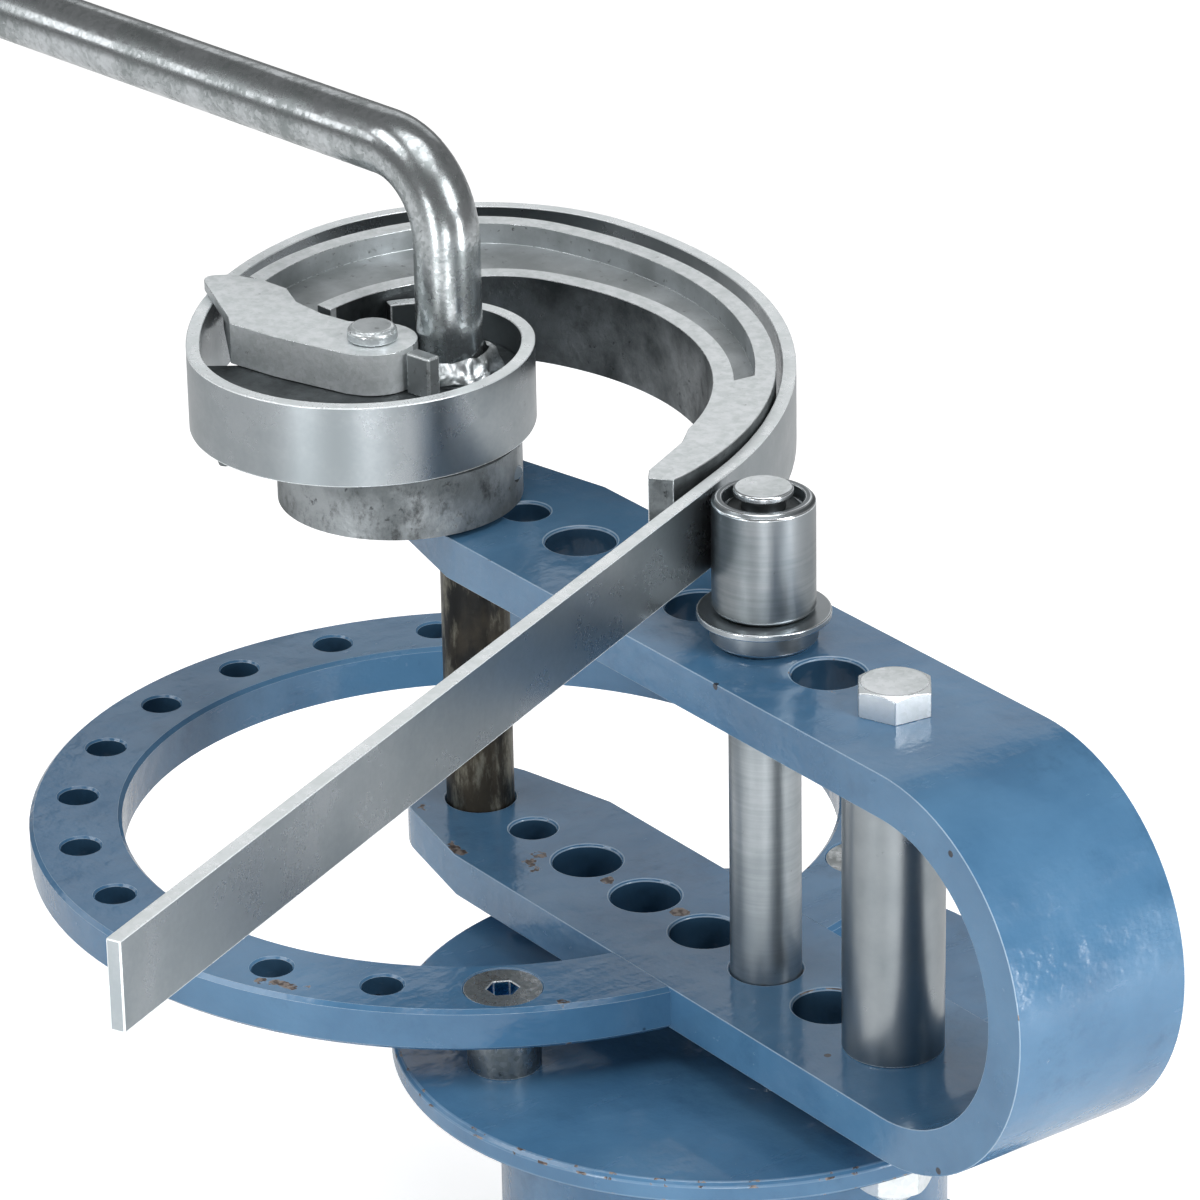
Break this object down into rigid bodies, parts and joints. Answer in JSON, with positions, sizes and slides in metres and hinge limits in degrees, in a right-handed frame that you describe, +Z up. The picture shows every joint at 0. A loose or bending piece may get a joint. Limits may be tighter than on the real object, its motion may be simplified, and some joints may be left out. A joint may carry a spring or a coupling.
{
  "type": "ring roller",
  "caption": "Hand ring roller: looped bending frame with stop ring on a round pedestal, turning scroll core with hinged former and handle, counter roller and coiled flat bar.",
  "frame": {"origin": "centre of the foot plate's underside, on the column's axis", "axes": "+Z up; +X along the frame's arms towards their bend; the pivot is at X -0.146, and the front of the picture looks from -Y and +X"},
  "size_m": [0.9423, 0.5114, 0.449],
  "materials": {
    "frame_paint": "gloss blue-grey enamel, chipped at the hole rims",
    "zinc": "galvanised, blotchy satin",
    "bright_steel": "turned and bright",
    "dark_steel": "dark oiled steel with brown rust",
    "core_cast": "cast, grey, slightly pitted",
    "former_cast": "cast and galvanised, spangled",
    "flat_bar": "rolled flat bar, bright edges"
  },
  "bodies": {
    "pedestal": {"foot_plate": "frame_paint", "column_tube": "frame_paint", "top_disc": "frame_paint", "ring_bosses": "zinc", "ring_screws": "zinc", "stop_ring": "frame_paint", "u_frame": "frame_paint", "arm_bush": "zinc", "frame_spacer": "zinc", "frame_bolt": "zinc", "nut_washer": "zinc", "frame_nut": "zinc", "thrust_washer": "bright_steel"},
    "head": {"pivot_post": "dark_steel", "scroll_core": "core_cast", "post_roll_pin": "bright_steel", "strip_stop": "core_cast", "handle_bar": "zinc", "handle_weld": "zinc", "hinge_pin": "core_cast", "workpiece_strip": "flat_bar"},
    "former": {"scroll_former": "former_cast"},
    "counter_pin": {"roller_pin": "bright_steel", "roller_collar": "bright_steel", "roller_flange": "bright_steel", "roller_clip": "dark_steel"},
    "roller": {"roller_sleeve": "bright_steel"}
  },
  "joints": [
    {"name": "head_turn", "type": "hinge", "parent": "pedestal", "child": "head", "pos_m": [-0.146, 0, 0.33], "axis": [0, 0, 1], "continuous": true, "deforming": ["workpiece_strip"]},
    {"name": "former_swing", "type": "hinge", "parent": "head", "child": "former", "pos_m": [-0.163, -0.0295, 0.365], "axis": [0, 0, 1], "range_deg": [-8, 0], "deforming": ["workpiece_strip"]},
    {"name": "roller_lift", "type": "slide", "parent": "pedestal", "child": "counter_pin", "axis": [0, 0, -1], "range_m": [-0.05, 0]},
    {"name": "roller_spin", "type": "hinge", "parent": "counter_pin", "child": "roller", "pos_m": [0.025, 0, 0.348], "axis": [0, 0, 1], "continuous": true}
  ]
}
